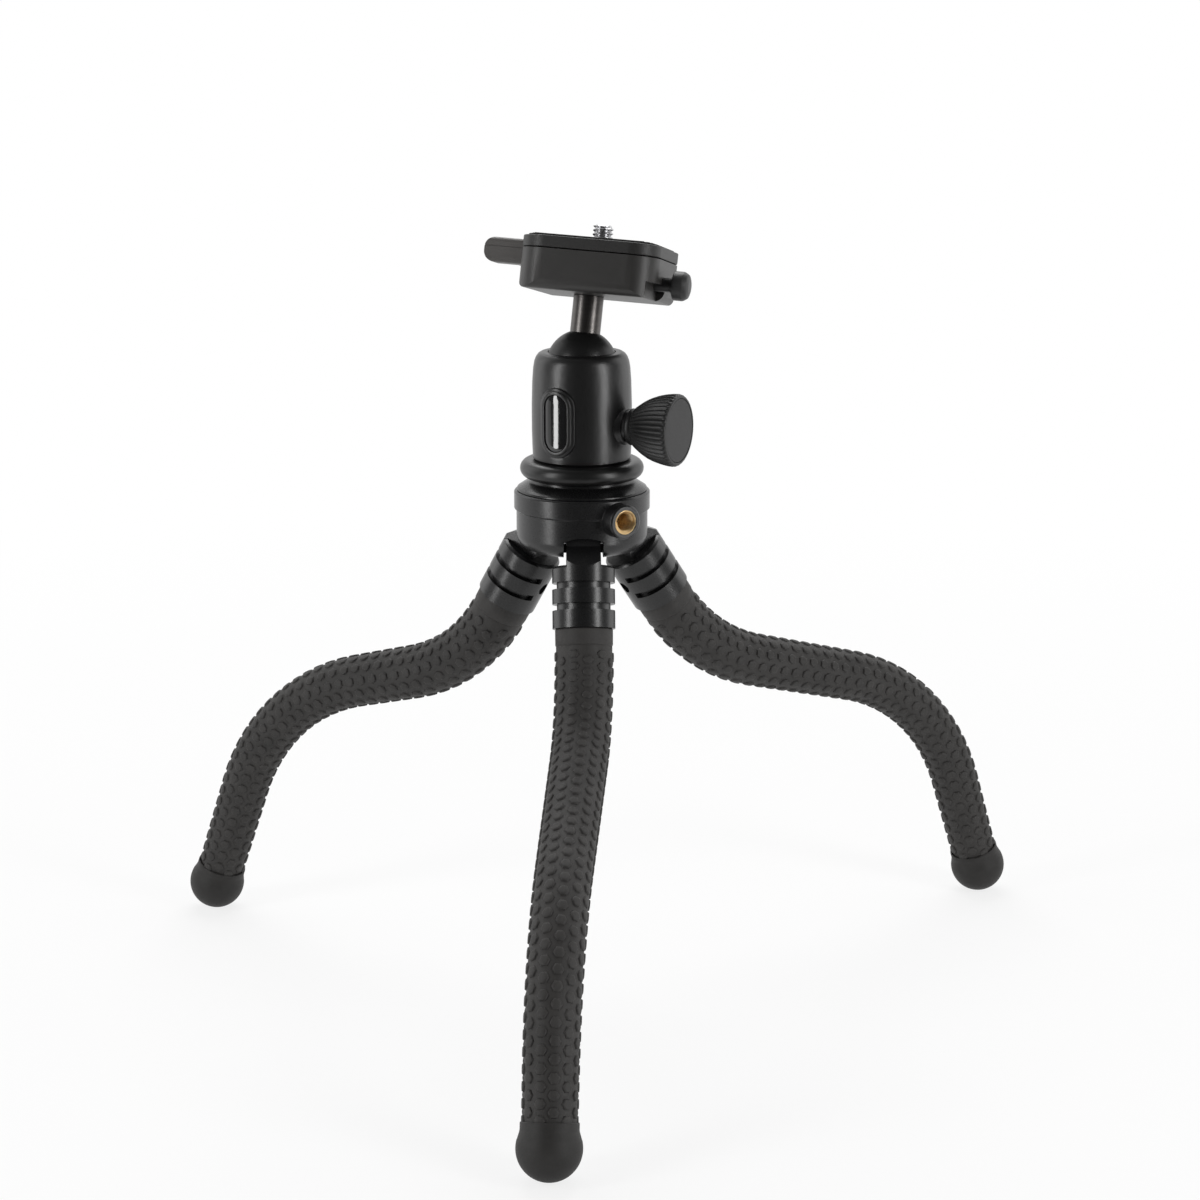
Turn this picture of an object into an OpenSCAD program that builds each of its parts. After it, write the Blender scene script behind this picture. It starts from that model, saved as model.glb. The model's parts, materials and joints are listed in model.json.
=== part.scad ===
// Table-top camera tripod with three flexible legs, a ball head and a quick-release clamp.
// Millimetres, +Z up, floor at z = 0, the column's centre line on the Z axis, front leg toward -Y.
// Bearings are measured from the front (-Y) toward the right (+X).

/* [Stand] */
// height of the collar's lower rim above the floor
collar_z = 142.2; // [136:0.2:148]
// overall height of the collar
collar_h = 18.4; // [17:0.1:20]
// collar diameter above its step
collar_d = 42; // [41:0.1:44]
// collar diameter below its step
skirt_d = 40.6; // [40:0.1:41]
// bearing of the accessory socket
socket_bearing = 30; // [28:1:34]

/* [Legs] */
// length of each leg from its socket to the centre of its foot: front, right, left
leg_length = [180, 189, 174]; // [168:1:196]
// lean of each leg socket from upright: front, right, left
leg_lean = [18.6, 35, 30]; // [10:0.2:36]
// outward bend in the upper half of each leg: front, right, left
upper_bend = [51, 39.5, 45]; // [30:0.5:56]
// bend back toward the floor in the lower half of each leg: front, right, left
lower_bend = [47, 55.5, 55]; // [40:0.5:60]
// sideways turn of the front leg's upper and lower bends
side_turn = [7.8, 3.3]; // [0:0.1:12]
// length of leg taken up by the upper bend
upper_arc = 42; // [38:1:46]
// length of leg taken up by the lower bend
lower_arc = 66; // [60:1:70]
// sleeve diameter where it meets the socket
sleeve_d = 17.8; // [17:0.1:18.4]
// sleeve diameter where it enters the foot
sleeve_end_d = 15; // [14:0.1:16]
// diameter of the bendable metal core
core_d = 5; // [4:0.1:5.6]
// diameter of the ball-shaped foot
foot_d = 18.4; // [17.6:0.1:20]

/* [Leg sockets] */
// socket diameter
socket_d = 19.2; // [18.6:0.1:19.6]
// socket length
socket_len = 19; // [17:0.5:22]
// width of the tongue that enters the collar
tongue_w = 10.4; // [9:0.1:11]
// width of the arch in the collar
arch_w = 12; // [11.8:0.1:12.6]
// diameter of the hip pin
pin_d = 2.5; // [2:0.1:2.8]

/* [Ball head] */
// ball diameter
ball_d = 22; // [21:0.1:22.4]
// height of the ball housing
housing_h = 33.2; // [32.6:0.1:34]
// largest diameter of the ball housing
housing_d = 30.8; // [30:0.1:32]
// stem diameter
stem_d = 9.3; // [8:0.1:9.8]
// tilt of the stem from upright
head_tilt = 12; // [0:0.5:30]
// bearing the stem is tilted toward
tilt_bearing = 148.6; // [0:0.2:360]
// bearing of the lock knob
knob_bearing = 62; // [40:1:90]
// large diameter of the lock knob
knob_d = 22.2; // [20:0.2:24]
// length of the lock knob
knob_len = 16; // [14:0.5:20]
// bearing of the glossy inlay
inlay_bearing = -32; // [-50:1:-10]

/* [Clamp] */
// clamp width
clamp_w = 43; // [40:0.5:46]
// clamp depth
clamp_d = 38; // [37:0.5:42]
// height of the clamp body
clamp_h = 12.2; // [11.4:0.1:14]
// thickness of the camera plate
plate_t = 3.5; // [3:0.1:5]
// free length of the camera screw above the pad
stud_len = 5; // [4:0.1:6]
// turn of the clamp about the stem
clamp_yaw = -17; // [-60:1:60]
// diameter of the safety button
button_d = 8.9; // [8:0.1:9.6]

/* [Hidden] */
$fn = 64;
// gap kept between pieces that move past each other
gap = 0.3;
// radial play of a pin in its hole
play = 0.05;
thread_r = 6.35 / 2;

// leg hinge
leg_bearing = [0, 120, -120];
pin_r = 14;
pin_z = collar_z + 5.4;
tongue_r = 3.6;
axis_off = -0.8;
neck_drop = 8.4;
first_run = 5;
groove_w = 2;
groove_depth = 1.4;

// heights of the column
collar_top = collar_z + collar_h;
cap_h = 4;
ring_z = collar_top + cap_h;
ring_h = 5.6;
house_z = ring_z + ring_h;
ball_r = ball_d / 2;
ball_z = house_z + housing_h - 4.3;
seat_z = ball_z - ball_r - 0.5;
knob_z = seat_z - 6.2;
bore_r = ball_r + gap;
plunger_r = 8.22;
wedge = 20;
boss_face = collar_d / 2 + 4.5;
insert_r = 3.75;
insert_len = 8.8;

// head and clamp, measured along the stem from the ball centre
clamp_base = 21.3;
clamp_off = 2.4;
corner = 8.6;
clamp_top = clamp_base + clamp_h;
plate_z = clamp_top + gap;
pad_z = plate_z + plate_t;
pad_t = 0.8;
key_h = 4.3;
floor_z = clamp_top - key_h - gap;
lever_z = floor_z - 0.1 + gap;
lever_h = clamp_top - gap - lever_z;
lever_in = 7;
lever_r = 6.4;
lever_x = -clamp_w / 2 + lever_in;
lever_y = clamp_d / 2 - lever_in;
tab_len = 15;
tab_w = 8;
tab_h = 7.8;
tab_y = lever_y - 8.5;
button_y = -4;
button_z = clamp_base + 5.1;
button_x = clamp_w / 2 + 4.6;
notch_x = clamp_w / 2 - 2.5;
knob_r0 = housing_d / 2 + 1.6;

// sleeve joints
sides = 18;
cup_gap = 1;
rim_step = 2;
cup_step = 3;
core_start = -14;
sleeve_bore = core_d / 2 + 1.1;
foot_r = foot_d / 2;
leg_end = 1.8;

function unit(v) = v / norm(v);
function turn(v, k, a) = v * cos(a) + cross(k, v) * sin(a) + k * (k * v) * (1 - cos(a));
function placed(x, y, z, p) =
    [[x[0], y[0], z[0], p[0]], [x[1], y[1], z[1], p[1]], [x[2], y[2], z[2], p[2]], [0, 0, 0, 1]];
function bearing(a) = [sin(a), -cos(a), 0];

// leg centre line: straight, arc, straight, arc, straight down to the foot
function out_of(i) = bearing(leg_bearing[i]);
function side_of(i) = cross([0, 0, 1], out_of(i));
function down_0(i) = out_of(i) * sin(leg_lean[i]) - [0, 0, cos(leg_lean[i])];
function lift_0(i) = out_of(i) * cos(leg_lean[i]) + [0, 0, sin(leg_lean[i])];
function hip(i) = out_of(i) * pin_r + [0, 0, pin_z];
function root_end(i) = hip(i) + lift_0(i) * axis_off + down_0(i) * (neck_drop + socket_len);
function axis_1(i) = turn(-side_of(i), down_0(i), i == 0 ? side_turn[0] : 0);
function down_1(i) = turn(down_0(i), axis_1(i), upper_bend[i]);
function square_to(v, d) = unit(v - d * (v * d));
function axis_2(i) = turn(square_to(-side_of(i), down_1(i)), down_1(i), i == 0 ? side_turn[1] : 0);
function down_2(i) = turn(down_1(i), axis_2(i), -lower_bend[i]);
function arc_at(p, d, k, len, full, a) =
    let (c = p + cross(k, d) * (len * 180 / (full * PI))) c + turn(p - c, k, a);
function bend_1_start(i) = root_end(i) + down_0(i) * first_run;
function bend_1(i, a) = arc_at(bend_1_start(i), down_0(i), axis_1(i), upper_arc, upper_bend[i], a);
function bend_2(i, p, a) = arc_at(p, down_1(i), axis_2(i), lower_arc, -lower_bend[i], -a);
// the straight parts share what is left of the leg so that the foot stands on the floor
function spare(i) = leg_length[i] - first_run - upper_arc - lower_arc;
function drop(i) = bend_1(i, upper_bend[i])[2] + bend_2(i, [0, 0, 0], lower_bend[i])[2] - foot_r;
function run_1(i) = (drop(i) + spare(i) * down_2(i)[2]) / (down_2(i)[2] - down_1(i)[2]);
function s_1(i) = first_run + upper_arc;
function s_2(i) = s_1(i) + run_1(i);
function s_3(i) = s_2(i) + lower_arc;
function mid_start(i) = bend_1(i, upper_bend[i]);
function mid_end(i) = mid_start(i) + down_1(i) * run_1(i);
// point and direction at a distance s along the leg
function leg_at(i, s) =
    s <= first_run ? [root_end(i) + down_0(i) * s, down_0(i)] :
    s <= s_1(i) ? let (a = upper_bend[i] * (s - first_run) / upper_arc)
        [bend_1(i, a), turn(down_0(i), axis_1(i), a)] :
    s <= s_2(i) ? [mid_start(i) + down_1(i) * (s - s_1(i)), down_1(i)] :
    s <= s_3(i) ? let (a = lower_bend[i] * (s - s_2(i)) / lower_arc)
        [bend_2(i, mid_end(i), a), turn(down_1(i), axis_2(i), -a)] :
    [bend_2(i, mid_end(i), lower_bend[i]) + down_2(i) * (s - s_3(i)), down_2(i)];
function joint_1(i) = first_run + upper_arc / 2;
function joint_2(i) = s_2(i) + lower_arc / 2;
function sleeve_r(i, s) = (sleeve_d + (sleeve_end_d - sleeve_d) * s / leg_length[i]) / 2;

// rings of points for the swept pieces
function ring(c, t, u0, r, n) =
    let (u = square_to(u0, t), v = cross(t, u))
    [for (k = [0:n - 1]) c + (u * cos(360 * k / n) + v * sin(360 * k / n)) * r];
function leg_ring(i, s, r) = let (f = leg_at(i, s)) ring(f[0], f[1], side_of(i), r, sides);
function off_ring(i, s, along, r) =
    let (f = leg_at(i, s)) ring(f[0] + f[1] * along, f[1], side_of(i), r, sides);
function steps(a, b, n) = [for (k = [0:n]) a + (b - a) * k / n];
function outer_rings(i, a, b, n) = [for (s = steps(a, b, n)) leg_ring(i, s, sleeve_r(i, s))];
function inner_rings(i, a, b, n) = [for (s = steps(a, b, n)) leg_ring(i, s, sleeve_bore)];
// rounded end at a bend
function dome(i, s) =
    let (r = sleeve_r(i, s), last = acos(sleeve_bore / r))
    [for (k = [1:4]) off_ring(i, s, r * sin(last * k / 4), r * cos(last * k / 4))];
// hollow end that takes the rounded end, from the bore out to just inside the rim
function cup_r(i, s) = sleeve_r(i, s) + cup_gap;
function rim(i, s) = sqrt(pow(cup_r(i, s), 2) - pow(sleeve_r(i, s), 2));
function cup(i, s) =
    let (r = cup_r(i, s), a = acos(sleeve_bore / r), b = asin(rim(i, s) / r))
    [for (k = [0:3]) let (q = a + (b - a) * k / 4) off_ring(i, s, r * sin(q), r * cos(q))];
function rim_ring(i, s) = [off_ring(i, s, rim(i, s), sleeve_r(i, s))];
function cup_depth(i, s) = sqrt(pow(cup_r(i, s), 2) - pow(sleeve_bore, 2));

function flat(list) = [for (a = list) for (b = a) b];

// skin over a closed loop of rings
module ring_loop(rings, n) {
    m = len(rings);
    polyhedron(flat(rings), [for (j = [0:m - 1]) for (k = [0:n - 1])
        let (a = j * n + k, b = ((j + 1) % m) * n + k, k2 = (k + 1) % n)
        let (c = ((j + 1) % m) * n + k2, d = j * n + k2)
        for (f = [[a, b, c], [a, c, d]]) f]);
}

// solid rod through a row of rings
module ring_rod(rings, n) {
    m = len(rings);
    polyhedron(flat(rings), concat(
        [for (j = [0:m - 2]) for (k = [0:n - 1])
            let (a = j * n + k, b = a + n, k2 = (k + 1) % n)
            for (f = [[a, b, (j + 1) * n + k2], [a, (j + 1) * n + k2, j * n + k2]]) f],
        [[for (k = [0:n - 1]) k]],
        [[for (k = [n - 1:-1:0]) (m - 1) * n + k]]));
}

module at_hip(i) {
    multmatrix(placed(lift_0(i), side_of(i), -down_0(i), hip(i))) children();
}
module at_foot(i) {
    u = square_to(side_of(i), down_2(i));
    multmatrix(placed(u, cross(down_2(i), u), down_2(i), leg_at(i, leg_length[i])[0])) children();
}
// local z along a horizontal bearing, local x up
module facing(a, h) {
    k = bearing(a);
    multmatrix(placed([0, 0, 1], [k[1], -k[0], 0], k, [0, 0, h])) children();
}
// local z along the tilted stem, origin at the ball centre
module at_head() {
    translate([0, 0, ball_z])
        rotate(a = head_tilt, v = [cos(tilt_bearing), sin(tilt_bearing), 0])
            children();
}
// origin below the middle of the clamp
module at_clamp() {
    at_head() rotate([0, 0, clamp_yaw]) translate([clamp_off, 0, 0]) children();
}

module plan(w, d, r) {
    translate([r - w / 2, -d / 2]) square([w - 2 * r, d]);
    translate([-w / 2, r - d / 2]) square([w, d - 2 * r]);
    for (x = [-1, 1])
        for (y = [-1, 1])
            translate([x * (w / 2 - r), y * (d / 2 - r)]) circle(r = r);
}
module oval(w, h) {
    square([h - w, w], center = true);
    for (x = [-1, 1]) translate([x * (h - w) / 2, 0]) circle(d = w);
}
// section with two lower corners rounded
module rounded_base(w, h, r) {
    translate([-w / 2, r]) square([w, h - r]);
    translate([r - w / 2, 0]) square([w - 2 * r, r + 0.1]);
    for (x = [-1, 1]) translate([x * (w / 2 - r), r]) circle(r = r);
}

// collar and column

module collar_body() {
    edge = 4.8;
    r1 = skirt_d / 2;
    r2 = collar_d / 2;
    color([0.06, 0.06, 0.065]) difference() {
        union() {
            translate([0, 0, collar_z]) rotate_extrude() {
                square([r1 - edge, collar_h]);
                translate([0, edge]) square([r1, collar_h - edge]);
                translate([r1 - edge, edge]) circle(r = edge);
                polygon([[0, 12.3], [r1, 12.3], [r2, 12.8], [r2, collar_h - 0.5],
                    [r2 - 0.5, collar_h], [0, collar_h]]);
            }
            facing(socket_bearing, collar_z + 12.3) translate([0, 0, 14]) {
                cylinder(r = 5.3, h = boss_face - 14.5);
                translate([0, 0, boss_face - 14.5]) cylinder(r1 = 5.3, r2 = 4.8, h = 0.5);
            }
        }
        // leg arches and the pockets behind them
        for (i = [0:2]) rotate([0, 0, leg_bearing[i]]) {
            translate([-arch_w / 2, -18.3, collar_z - 1])
                cube([arch_w, 9.8, pin_z - collar_z + tongue_r + gap + 1]);
            translate([0, -8.5, collar_z]) rotate([90, 0, 0]) linear_extrude(20) intersection() {
                translate([-arch_w / 2, -1]) square([arch_w, 12]);
                translate([0, -7]) circle(r = 14);
            }
            translate([-8, -pin_r, pin_z]) rotate([0, 90, 0]) cylinder(d = pin_d + 0.02, h = 16);
        }
        // centre bolt and accessory thread
        translate([0, 0, collar_z - 1]) cylinder(r = 5.2, h = 8);
        translate([0, 0, collar_z]) cylinder(r = thread_r + 0.15, h = collar_h + 1);
        facing(socket_bearing, collar_z + 12.3)
            translate([0, 0, boss_face - insert_len]) cylinder(r = insert_r, h = insert_len + 1);
    }
}

module collar_cap() {
    color([0.09, 0.09, 0.095]) translate([0, 0, collar_top]) difference() {
        rotate_extrude()
            polygon([[0, 0], [collar_d / 2 - 0.9, 0], [collar_d / 2 - 0.9, 0.7], [collar_d / 2 - 4.4, 3],
                [collar_d / 2 - 4.6, 3.2], [collar_d / 2 - 4.6, cap_h], [0, cap_h]]);
        translate([0, 0, -1]) cylinder(r = thread_r + 0.15, h = cap_h + 2);
    }
}

module accessory_insert() {
    color([0.72, 0.55, 0.26]) facing(socket_bearing, collar_z + 12.3)
        translate([0, 0, boss_face - insert_len]) difference() {
            cylinder(r = insert_r - 0.01, h = insert_len - 0.2);
            translate([0, 0, -1]) cylinder(r = thread_r, h = insert_len + 2);
            translate([0, 0, insert_len - 0.6]) cylinder(r1 = thread_r, r2 = thread_r + 0.42, h = 0.42);
        }
}

module hip_pins() {
    color([0.55, 0.55, 0.56]) for (i = [0:2])
        rotate([0, 0, leg_bearing[i]]) translate([-8, -pin_r, pin_z]) rotate([0, 90, 0])
            cylinder(d = pin_d, h = 16);
}

module centre_bolt() {
    color([0.3, 0.3, 0.31]) difference() {
        union() {
            translate([0, 0, collar_z + 3]) cylinder(r = 5, h = 4);
            translate([0, 0, collar_z + 6]) cylinder(r = thread_r, h = seat_z - collar_z - 16);
        }
        translate([0, 0, collar_z + 2]) cylinder(r = 2.6, h = 3.5, $fn = 6);
    }
}

module base_ring() {
    color([0.08, 0.08, 0.08]) translate([0, 0, ring_z]) rotate_extrude() {
        translate([thread_r + 0.15, 0]) square([13, ring_h]);
        translate([thread_r + 13.15, ring_h / 2]) circle(r = ring_h / 2);
    }
}

// ball head

module housing_solid() {
    r = housing_d / 2;
    h = housing_h;
    rotate_extrude()
        polygon([[0, 0], [r - 0.8, 0], [r - 0.3, 0.6], [r - 0.15, 4], [r, 9.6], [r, 17.2],
            [r - 0.2, 24.2], [r - 0.5, h - 4.8], [r - 0.85, h - 2.8], [r - 1.35, h - 1.5],
            [r - 2, h - 0.6], [r - 2.8, h - 0.1], [r - 3.4, h], [0, h]]);
}
// ball socket, seat bore, plunger bore and bolt hole, one below the other
module housing_bores() {
    mouth = asin((house_z + housing_h - ball_z) / bore_r);
    bolt_r = thread_r + 0.02;
    pocket_r = plunger_r + 0.08;
    rotate_extrude()
        polygon(concat([[0, house_z - 1], [bolt_r, house_z - 1], [bolt_r, seat_z - 9.2],
            [pocket_r, seat_z - 9.2], [pocket_r, seat_z - 0.6], [bore_r, seat_z - 0.6]],
            [for (a = steps(0, mouth, 6)) [bore_r * cos(a), ball_z + bore_r * sin(a)]],
            [[bore_r * cos(mouth), house_z + housing_h + 1], [0, house_z + housing_h + 1]]));
}
// slot cut to an even depth below the round wall
module wall_slot(w, h, depth) {
    difference() {
        facing(inlay_bearing, house_z + 13.2) translate([0, 0, 10]) linear_extrude(10) oval(w, h);
        translate([0, 0, house_z]) cylinder(r = housing_d / 2 - depth, h = housing_h);
    }
}

module ball_housing() {
    color([0.13, 0.13, 0.135]) difference() {
        union() {
            translate([0, 0, house_z]) housing_solid();
            facing(knob_bearing, knob_z) translate([0, 0, 10]) {
                cylinder(r = 5, h = knob_r0 - gap - 10);
                cylinder(r1 = 9, r2 = 5.4, h = knob_r0 - 11.2);
            }
        }
        housing_bores();
        facing(knob_bearing, knob_z) cylinder(d = 5 + 2 * play, h = 30);
        // stepped oval recess
        wall_slot(12, 21.6, 0.5);
        wall_slot(10, 20.4, 1);
        wall_slot(8.4, 19.2, 2.4);
    }
}

module housing_inlay() {
    color([0.05, 0.05, 0.06]) difference() {
        intersection() {
            facing(inlay_bearing, house_z + 13.2)
                translate([0, 0, 10]) linear_extrude(10) oval(8.38, 19.18);
            translate([0, 0, house_z]) cylinder(r = housing_d / 2 - 1.2, h = housing_h);
        }
        translate([0, 0, house_z]) cylinder(r = housing_d / 2 - 2.4, h = housing_h);
    }
}

module pressure_plunger() {
    top = seat_z - 0.4;
    k = bearing(knob_bearing);
    color([0.72, 0.62, 0.35]) difference() {
        translate([0, 0, seat_z - 8.6]) cylinder(r = plunger_r, h = top - seat_z + 8.6);
        // slope that the screw tip pushes along
        multmatrix(placed(k, cross([0, 0, 1], k), [0, 0, 1], [0, 0, knob_z + 1.9]))
            rotate([0, -wedge, 0]) translate([-30, -15, -30]) cube([60, 30, 30]);
    }
}

module ball_seat() {
    color([0.86, 0.86, 0.83]) difference() {
        translate([0, 0, seat_z]) cylinder(r = bore_r - 0.08, h = 7.4);
        translate([0, 0, ball_z]) sphere(r = bore_r);
        translate([0, 0, seat_z - 1]) cylinder(r = 5, h = 9);
    }
}

module ball() {
    color([0.05, 0.05, 0.05]) at_head() difference() {
        sphere(r = ball_r);
        translate([0, 0, 1]) cylinder(d = stem_d + 2 * play, h = ball_r);
    }
}

module knob_screw() {
    color([0.6, 0.6, 0.61]) facing(knob_bearing, knob_z) {
        translate([0, 0, 4.2]) cylinder(d = 5, h = knob_r0 + knob_len - 8.2);
        translate([0, 0, 3.2]) cylinder(d1 = 3.4, d2 = 5, h = 1.01);
    }
}

module lock_knob() {
    r = knob_d / 2;
    color([0.1, 0.1, 0.1]) facing(knob_bearing, knob_z) translate([0, 0, knob_r0]) difference() {
        rotate_extrude()
            polygon([[0, 0], [r * 0.54, 0], [r * 0.59, 0.6], [r * 0.92, 7], [r * 0.975, 9],
                [r, knob_len - 1.4], [r - 0.5, knob_len - 0.3], [r - 1.2, knob_len], [0, knob_len]]);
        translate([0, 0, -1]) cylinder(d = 5 + 2 * play, h = knob_len - 2.7);
        translate([0, 0, knob_len - 0.8]) cylinder(r = r - 2, h = 1);
    }
}

module knob_cap() {
    color([0.14, 0.14, 0.14]) facing(knob_bearing, knob_z) translate([0, 0, knob_r0 + knob_len - 0.8]) {
        cylinder(r = knob_d / 2 - 2.02, h = 0.7);
    }
}

// stem, clamp and camera plate

module head_stem() {
    color([0.2, 0.2, 0.21]) at_head() difference() {
        union() {
            translate([0, 0, 1.6]) cylinder(d = stem_d, h = clamp_base - 1.6);
            translate([0, 0, clamp_base - 1]) cylinder(r = 3, h = 3.4);
        }
        translate([0, 0, 10]) cylinder(r = 2, h = clamp_base);
    }
}

module clamp_outline(z, h) {
    translate([0, 0, z]) linear_extrude(h) plan(clamp_w, clamp_d, corner);
}

module clamp_body() {
    soft = 3.2;
    color([0.2, 0.2, 0.2]) at_clamp() difference() {
        intersection() {
            clamp_outline(clamp_base, clamp_h);
            translate([0, clamp_d / 2, clamp_base]) rotate([90, 0, 0]) linear_extrude(clamp_d)
                rounded_base(clamp_w, clamp_h, soft);
            translate([-clamp_w / 2, 0, clamp_base]) rotate([90, 0, 90]) linear_extrude(clamp_w)
                rounded_base(clamp_d, clamp_h, soft);
        }
        // seat for the key under the camera plate
        translate([-7.8, -11.35, floor_z]) cube([24.15, 22.7, key_h + 1]);
        // screw and stem spigot
        translate([-clamp_off, 0, clamp_base - 1]) cylinder(r = 3.02, h = 3.4);
        translate([-clamp_off, 0, clamp_base]) cylinder(r = 2.02, h = clamp_h);
        translate([-clamp_off, 0, floor_z - 2.5]) cylinder(r = 4.02, h = 3);
        // room for the release lever
        translate([lever_x, lever_y, floor_z - 0.1]) cylinder(r = lever_in + 0.1, h = key_h + 2);
        translate([-clamp_w / 2 - 1, lever_y - 7.4, floor_z - 0.1]) cube([lever_in + 1, 7.4, key_h + 2]);
        translate([lever_x, lever_y, clamp_base + 2.6]) cylinder(r = 1.52, h = clamp_h);
        // notch and bore for the safety button
        translate([notch_x, -clamp_d / 2 - 1, clamp_base - 1]) cube([10, clamp_d / 2 - 0.5, 6]);
        translate([4, button_y, button_z]) rotate([0, 90, 0]) cylinder(r = 2.2 + play, h = clamp_w / 2);
    }
}

module clamp_screw() {
    color([0.45, 0.45, 0.46]) at_clamp() translate([-clamp_off, 0, 0]) difference() {
        union() {
            translate([0, 0, floor_z - 2.5]) cylinder(r = 4, h = 2.2);
            translate([0, 0, 13]) cylinder(r = 1.98, h = floor_z - 14);
        }
        translate([0, 0, floor_z - 1.6]) cylinder(r = 1.8, h = 3, $fn = 6);
    }
}

module release_lever() {
    tab_end = -clamp_w / 2 - 0.6 - tab_len;
    color([0.16, 0.16, 0.16]) at_clamp() difference() {
        union() {
            translate([lever_x, lever_y, lever_z]) cylinder(r = lever_r, h = lever_h);
            translate([-clamp_w / 2 - 6, lever_y - 7, lever_z]) cube([lever_in + 6, 7, lever_h]);
            // finger tab beside the plate
            translate([tab_end + tab_len / 2, tab_y, lever_z + tab_h / 2]) intersection() {
                rotate([90, 0, 0]) linear_extrude(tab_w, center = true) plan(tab_len, tab_h, 3.4);
                rotate([0, 90, 0]) linear_extrude(tab_len, center = true) plan(tab_h, tab_w, 1.6);
            }
        }
        translate([lever_x, lever_y, lever_z - 1]) cylinder(r = 1.5 + play, h = lever_h + 2);
        // parting line round the tab
        translate([tab_end - 1, tab_y - tab_w / 2 - 1, lever_z + 4.8]) cube([tab_len + 2, 1.25, 0.3]);
    }
}

module lever_pin() {
    color([0.55, 0.55, 0.56]) at_clamp() translate([lever_x, lever_y, clamp_base + 2.6])
        cylinder(r = 1.5, h = clamp_h - 2.8);
}

module safety_button() {
    r = button_d / 2;
    color([0.12, 0.12, 0.12]) at_clamp() translate([0, button_y, button_z]) rotate([0, 90, 0]) {
        translate([0, 0, 9]) cylinder(r = 2.2, h = button_x - 8.5);
        translate([0, 0, button_x]) rotate_extrude()
            polygon([[0, 0], [r - 0.4, 0], [r, 0.4], [r, 1.6], [r * 0.93, 2.5], [r * 0.78, 3.2],
                [r * 0.5, 3.7], [0, 3.9]]);
    }
}

module button_spring() {
    coil_r = 1.6;
    wire = 0.25;
    x0 = 4.3;
    x1 = 8.7;
    turns = 5;
    n = 8;
    color([0.6, 0.6, 0.61]) at_clamp() translate([0, button_y, button_z]) {
        ring_rod([for (k = [0:turns * 10])
            let (a = 36 * k, q = [x0 + (x1 - x0) * k / (turns * 10), coil_r * cos(a), coil_r * sin(a)],
                t = unit([(x1 - x0) / turns / 360 * 57.3, -coil_r * sin(a), coil_r * cos(a)]))
            ring(q, t, [1, 0, 0], wire, n)], n);
    }
}

module camera_plate() {
    color([0.15, 0.15, 0.15]) at_clamp() difference() {
        union() {
            clamp_outline(plate_z, plate_t);
            translate([-6.9, -11, plate_z - key_h + gap]) cube([22.9, 22, key_h]);
        }
        translate([0, 0, plate_z - 6]) cylinder(r = thread_r + play, h = 12);
        translate([0, 0, plate_z - 6]) cylinder(r = 6, h = 5.2);
    }
}

module plate_pad() {
    color([0.1, 0.1, 0.1]) at_clamp() translate([0, 0, pad_z]) linear_extrude(pad_t) difference() {
        plan(clamp_w - 3, clamp_d - 3, corner - 1.5);
        circle(r = thread_r + 1.2);
    }
}

module camera_screw() {
    color([0.62, 0.62, 0.63]) at_clamp() difference() {
        union() {
            translate([0, 0, plate_z - 3.4]) cylinder(r = 5.6, h = 2.3);
            translate([0, 0, plate_z - 2]) cylinder(r = 2.9, h = pad_z + pad_t - plate_z + 3);
            translate([0, 0, pad_z + pad_t + 0.3]) cylinder(r = thread_r, h = stud_len - 0.7);
            translate([0, 0, pad_z + pad_t + stud_len - 0.41])
                cylinder(r1 = thread_r, r2 = thread_r - 0.4, h = 0.41);
        }
        translate([-7, -0.7, plate_z - 4]) cube([14, 1.4, 1.6]);
    }
}

// legs

module leg_socket(i) {
    top = -neck_drop;
    r = socket_d / 2;
    color([0.07, 0.07, 0.075]) at_hip(i) difference() {
        union() {
            translate([axis_off, 0, top - socket_len]) {
                cylinder(r = r, h = socket_len - 0.8);
                translate([0, 0, socket_len - 0.8]) cylinder(r1 = r, r2 = r - 0.8, h = 0.8);
            }
            // tongue, flush with the outer side of the socket
            intersection() {
                translate([0, tongue_w / 2, 0]) rotate([90, 0, 0]) linear_extrude(tongue_w) {
                    circle(r = tongue_r);
                    polygon([[-tongue_r, 0], [tongue_r, 0], [tongue_r, -2.5], [axis_off + r, top - 0.6],
                        [axis_off + r, top - 2], [-4.5, top - 2], [-4.5, top]]);
                }
                translate([axis_off, 0, top - 4]) cylinder(r = r, h = 20);
            }
        }
        translate([0, tongue_w, 0]) rotate([90, 0, 0]) cylinder(d = pin_d + 2 * play, h = 2 * tongue_w);
        // grip grooves round the outer side
        for (z = [top - 6, top - 12.5])
            translate([axis_off, 0, z - groove_w / 2]) rotate([0, 0, -160]) rotate_extrude(angle = 320)
                translate([r - groove_depth, 0]) square([groove_depth + 2, groove_w]);
        // core bore and clamping screw hole
        translate([axis_off, 0, top - socket_len - 1]) cylinder(d = core_d + 0.1, h = 15);
        translate([axis_off, 0, top - 9.3]) rotate([0, -90, 0]) cylinder(r = 2, h = 20);
    }
}

module leg_socket_screw(i) {
    color([0.35, 0.35, 0.36]) at_hip(i) translate([axis_off, 0, -neck_drop - 9.3]) rotate([0, -90, 0])
        difference() {
            translate([0, 0, core_d / 2 + 0.06]) cylinder(r = 1.98, h = 4.4);
            translate([0, 0, core_d / 2 + 2.6]) cylinder(r = 1.1, h = 5, $fn = 6);
        }
}

module leg_sleeve_upper(i) {
    j = joint_1(i);
    color([0.15, 0.15, 0.145])
        ring_loop(concat(outer_rings(i, 0, j, 6), dome(i, j), inner_rings(i, j, 0, 5)), sides);
}

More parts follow.
